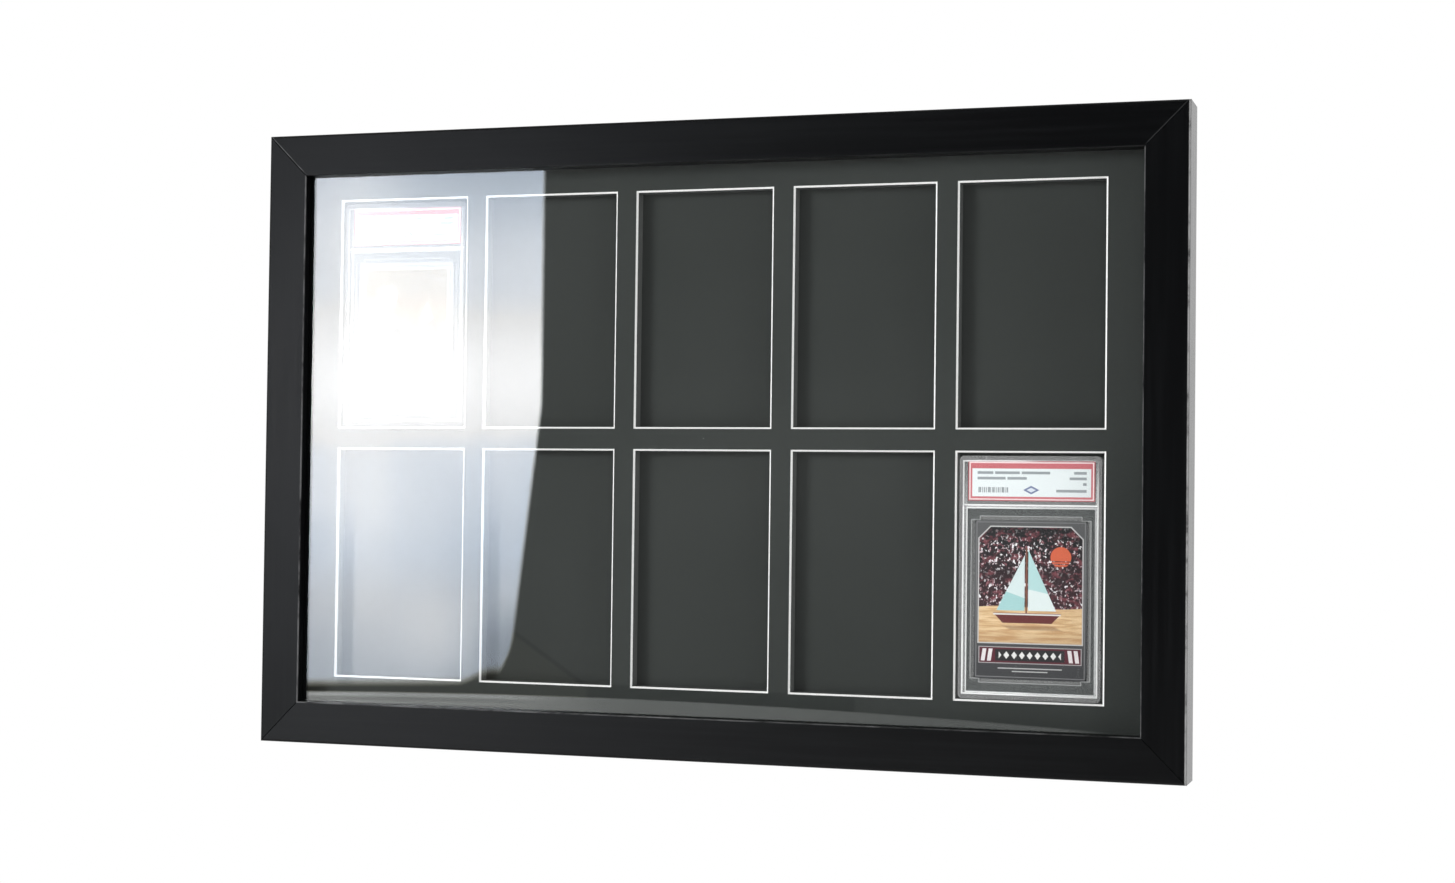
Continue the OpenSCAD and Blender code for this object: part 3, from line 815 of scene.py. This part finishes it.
# Faces that meet at more degrees than this keep a sharp edge
SHARP_ANGLE = 32
for name, node in nodes.items():
    material = finishes.get(name)
    if material is None:
        material = next(made for start, made in plated.items() if name.startswith(start))
    node.data.materials.clear()
    node.data.materials.append(material)
    for face in node.data.polygons:
        face.material_index = 0
    node.data.shade_smooth()
    node.data.set_sharp_from_angle(angle=math.radians(SHARP_ANGLE))

# Clear pieces let the lamp and the sky through to what is behind them

SHELLS = ("upper_slab_front", "upper_slab_rear", "lower_slab_front", "lower_slab_rear")
# Bevel of the shells, in metres, where faces meet at more than an angle in degrees
BEVEL_WIDE = 0.00025
BEVEL_ANGLE = 50
for name in ("glazing", *SHELLS):
    nodes[name].visible_shadow = False
    nodes[name].visible_diffuse = False
for name in SHELLS:
    bevel = nodes[name].modifiers.new("edges", "BEVEL")
    bevel.width = BEVEL_WIDE
    bevel.segments = 2
    bevel.limit_method = "ANGLE"
    bevel.angle_limit = math.radians(BEVEL_ANGLE)

# Floor, sky and the room that the glazing mirrors

CORNERS = ((-1, -1), (1, -1), (1, 1), (-1, 1))


def plate(name, corners, material):
    """A flat stage piece with four corners."""
    mesh = bpy.data.meshes.new(name)
    mesh.from_pydata(corners, [], [(0, 1, 2, 3)])
    mesh.materials.append(material)
    made = bpy.data.objects.new(name, mesh)
    scene.collection.objects.link(made)
    return made


# Height of the floor and how far it reaches each way, in metres
FLOOR_LEVEL = -0.75
FLOOR_REACH = 7.0
FLOOR = ((0.88, 0.88, 0.88), (0.92, 0.92, 0.92))
# The floor's share of plain white near the case, and where it fades to all white, in millimetres from
# a point in front of the wall
NEAR_WHITE = 0.3
FADE_MIDDLE = -300
FADE = (300, 1900)
WHITE = (1, 1, 1, 1)


def floor_material():
    """Pale floor that keeps the shadow under the case and fades to white away from it."""
    net = Net("pale_floor", Roughness=0.8, Specular_IOR_Level=0.2)
    net.feed("Base Color", net.blend(net.noise(0.02, detail=3), *FLOOR))
    tree = net.tree
    seen = seen_rays(tree)
    away = length(net.x, net.y - FADE_MIDDLE)
    white = tree.nodes.new("ShaderNodeEmission")
    white.inputs["Color"].default_value = WHITE
    mix = tree.nodes.new("ShaderNodeMixShader")
    share = seen * (NEAR_WHITE + (1 - NEAR_WHITE) * away.step(*FADE))
    tree.links.new(share.socket, mix.inputs["Fac"])
    tree.links.new(net.shader.outputs[0], mix.inputs[1])
    tree.links.new(white.outputs[0], mix.inputs[2])
    tree.links.new(mix.outputs[0], net.out.inputs["Surface"])
    return net.material


plate("floor", [(a * FLOOR_REACH, b * FLOOR_REACH, FLOOR_LEVEL) for a, b in CORNERS], floor_material())

# Strength of the sky as a light; it shows as plain white
SKY_LIGHT = 0.3
world = bpy.data.worlds.new("sky")
world.use_nodes = True
scene.world = world
sky_tree = world.node_tree
sky_tree.nodes.clear()
sky_strength = SKY_LIGHT + seen_rays(sky_tree) * (1 - SKY_LIGHT)
sky = sky_tree.nodes.new("ShaderNodeBackground")
sky.inputs["Color"].default_value = WHITE
sky_tree.links.new(sky_strength.socket, sky.inputs["Strength"])
sky_out = sky_tree.nodes.new("ShaderNodeOutputWorld")
sky_tree.links.new(sky.outputs[0], sky_out.inputs["Surface"])

# The room lies on an upright plane in front of the case, in metres. Below, x and z are places on that
# plane, and a pair of them is where something starts and where it is complete
ROOM_DISTANCE = -2.6
ROOM_WIDE = 3.2
ROOM_HIGH = 2.2

# The window: its right edge, which leans to the left below a level, its left end, its top and its sill
WINDOW_RIGHT = -1.1725
LEAN_BELOW = 0.13
LEAN = 0.118
WINDOW_LEFT = (-1.95, -1.87)
WINDOW_TOP = (0.75, 0.69)
SILL = -0.3715
SILL_FROM = -1.44
SILL_SLOPE = 0.04
# Rises of the sill towards the right: height, and where along x
SILL_RISES = ((0.02, (-1.33, -1.26)), (0.06, (-1.25, -1.21)))

# Light in the window: a plain level, more above a height, less near the top and the right
WINDOW_LIGHT = 5.2
HIGH_LIGHT = 4.2
HIGH_FROM = (-0.42, 0.0)
TOP_DROP = 1.6
TOP_FROM = (0.42, 0.6)
RIGHT_DROP = 1.1
RIGHT_FROM = (-1.57, -1.17)
# The bright beam across it: light, middle z and height
BEAM = (4.4, 0.175, 0.09)
# Bright patches: light, middle x and z, width and height
PATCHES = ((0.9, -1.52, -0.02, 0.07, 0.16), (1.6, -1.36, -0.29, 0.11, 0.08))
# Shaded parts of the curtain: share taken, where along x and where along z
SHADES = (
    (0.22, (-1.55, -1.35), (0.36, 0.54)),
    (0.1, (-1.4, -1.3), (0.08, -0.12)),
    (0.33, (-1.32, -1.25), (-0.2, -0.3)),
    (0.07, (-1.56, -1.6), (-0.04, -0.1)),
)
# Upright dark streaks: middle x and half the width
STREAKS = ((-1.553, 0.014), (-1.266, 0.016))
STREAK_SHARE = 0.19
STREAK_FROM = (0.0, -0.2)
FOLD_STRETCH = (16, 1, 1.2)

# The shelf: its top at x = 0, with a slope and a bend along x, and its ends
SHELF_TOP = -0.419
SHELF_SLOPE = 0.062
SHELF_BEND = 0.029
SHELF_END = (-0.14, -0.24)
# Light on the shelf: a plain level, and more light towards the left, with where along x
SHELF_LIGHT = 0.84
SHELF_LIGHTS = ((0.25, (-0.45, -0.95)), (0.7, (-0.97, -1.2)), (0.6, (-1.4, -1.65)))
# Bright lines below its top: share, depth, half the height and where along x
SHELF_LINES = ((0.7, 0.005, 0.003, (-1.1, -1.26)), (0.4, 0.018, 0.002, (-1.1, -1.3)))

# The dim rest of the room: its light, and a paler cloud with light, middle x and z, width and height
ROOM_LIGHT = 0.12
CLOUD = (0.09, -0.72, 0.04, 0.28, 0.13)
# Darker parts on the right: share taken and where along x, and where along z for the lower one
RIGHT_DIM = (0.25, (-0.45, -0.25))
LOW_RIGHT_DIM = (0.5, (-0.2, -0.14))
LOW_RIGHT_FROM = (0.1, -0.05)
# The dark gap above the shelf: its height and its two ends
GAP_HIGH = 0.025
GAP_LEFT = (-1.084, -1.074)
GAP_RIGHT = (-0.585, -0.593)
# The slanting line right of the window: a point on it, the direction across it, half its width and
# its right end, and the right end of the paler wedge below it
SLANT_POINT = (-1.2, -0.288)
SLANT_ACROSS = (0.546, 0.838)
SLANT_HALF = 0.004
SLANT_END = (-1.068, -1.076)
WEDGE_END = (-1.076, -1.084)

# The window's light turns cool as it falls below a level, over a span, and in a band and at the top
COOL_BELOW = 9.0
COOL_SPAN = 5.5
COOL_BAND_TOP = (0.12, 0.03)
COOL_BAND_FOOT = (-0.25, -0.12)
COOL_TOP = (0.26, 0.36)
# Tints of the light: the bright and the cool parts of the window, the room and the wedge
BRIGHT_TINT = (1, 1, 1.01)
COOL_TINT = (0.86, 0.98, 1.15)
ROOM_TINT = (0.97, 1, 0.98)
WEDGE_TINT = (1.02, 1, 0.8)


def patch(x, z, cx, cz, wide, high):
    """A soft patch of light round a middle."""
    return hill((x - cx) / wide, (z - cz) / high)


def window_light(tree, place, x, z):
    """Light of the curtained window."""
    level = WINDOW_LIGHT + z.step(*HIGH_FROM) * HIGH_LIGHT - z.step(*TOP_FROM) * TOP_DROP
    light, cz, high = BEAM
    level = level - x.step(*RIGHT_FROM) * RIGHT_DROP + light * hill((z - cz) / high)
    for light, *where in PATCHES:
        level = level + light * patch(x, z, *where)
    for share, along, upward in SHADES:
        level = level * (1 - share * x.step(*along) * z.step(*upward))
    for cx, half in STREAKS:
        streak = cover((x - cx).abs() - half, 0.008)
        level = level * (1 - STREAK_SHARE * streak * z.step(*STREAK_FROM))
    stretch = tree.nodes.new("ShaderNodeVectorMath")
    stretch.operation = "MULTIPLY"
    stretch.inputs[1].default_value = FOLD_STRETCH
    tree.links.new(place, stretch.inputs[0])
    fold = tree.nodes.new("ShaderNodeTexNoise")
    fold.inputs["Scale"].default_value = 1
    fold.inputs["Detail"].default_value = 2
    tree.links.new(stretch.outputs[0], fold.inputs["Vector"])
    return level * (0.92 + Num(tree, fold.outputs["Fac"]) * 0.16)


def shelf_light(x, under):
    """Light of the shelf, brighter towards the left and along two lines under its top."""
    level = SHELF_LIGHT
    for light, along in SHELF_LIGHTS:
        level = level + light * x.step(*along)
    lines = 1
    for share, depth, half, along in SHELF_LINES:
        lines = lines + share * cover((under + depth).abs() - half, 0.004) * x.step(*along)
    return level * lines


def room_light(x, z, gap, slant_line):
    """Light of the dim rest of the room."""
    light, *where = CLOUD
    dim = ROOM_LIGHT + light * patch(x, z, *where)
    share, along = RIGHT_DIM
    dim = dim * (1 - share * x.step(*along))
    share, along = LOW_RIGHT_DIM
    dim = dim * (1 - share * x.step(*along) * z.step(*LOW_RIGHT_FROM))
    return dim * (1 - 0.95 * gap.high(slant_line * 0.9))


def room_material():
    """A dim room with a curtained window on the left and a shelf below it, given out as light."""
    material = bpy.data.materials.new("mirrored_room")
    material.use_nodes = True
    tree = material.node_tree
    tree.nodes.clear()
    place = tree.nodes.new("ShaderNodeTexCoord").outputs["Object"]
    split = tree.nodes.new("ShaderNodeSeparateXYZ")
    tree.links.new(place, split.inputs[0])
    x, _, z = [Num(tree, s) for s in split.outputs]

    edge = WINDOW_RIGHT - (LEAN_BELOW - z).high(0) * LEAN
    sill = SILL + (x - SILL_FROM) * SILL_SLOPE
    for rise, along in SILL_RISES:
        sill = sill + rise * x.step(*along)
    window = (edge - x).step(-0.004, 0.007) * x.step(*WINDOW_LEFT) * z.step(*WINDOW_TOP)
    window = window * (z - sill).step(-0.01, 0.012)

    under = z - SHELF_TOP + (x * SHELF_BEND + SHELF_SLOPE) * x
    shelf = cover(under, 0.003) * x.step(*WINDOW_LEFT) * x.step(*SHELF_END)
    gap = cover(under - GAP_HIGH, 0.004) * x.step(*GAP_LEFT) * x.step(*GAP_RIGHT)
    slant = (z - SLANT_POINT[1]) * SLANT_ACROSS[1] + (x - SLANT_POINT[0]) * SLANT_ACROSS[0]
    slant_line = cover(slant.abs() - SLANT_HALF, 0.004) * x.step(*SLANT_END)
    wedge = cover(slant, 0.006) * x.step(*WEDGE_END) * (1 - shelf)

    level = window_light(tree, place, x, z)
    dim = room_light(x, z, gap, slant_line)
    strength = dim + window * (level - dim) + shelf * (shelf_light(x, under) - dim)
    cool = (COOL_BELOW - level) / COOL_SPAN
    cool = cool + 0.5 * z.step(*COOL_BAND_TOP) * z.step(*COOL_BAND_FOOT)
    cool = cool + 0.35 * z.step(*COOL_TOP)
    window_tint = mix_colours(tree, cool.clamp(), BRIGHT_TINT, COOL_TINT)
    room_tint = mix_colours(tree, wedge, ROOM_TINT, WEDGE_TINT)
    glow = tree.nodes.new("ShaderNodeEmission")
    tree.links.new(mix_colours(tree, window, room_tint, window_tint), glow.inputs["Color"])
    tree.links.new(strength.socket, glow.inputs["Strength"])
    out = tree.nodes.new("ShaderNodeOutputMaterial")
    tree.links.new(glow.outputs[0], out.inputs["Surface"])
    return material


room = plate(
    "mirrored_room",
    [(a * ROOM_WIDE, ROOM_DISTANCE, b * ROOM_HIGH) for a, b in CORNERS],
    room_material(),
)
room.visible_camera = False
room.visible_diffuse = False
room.visible_shadow = False
room.visible_volume_scatter = False
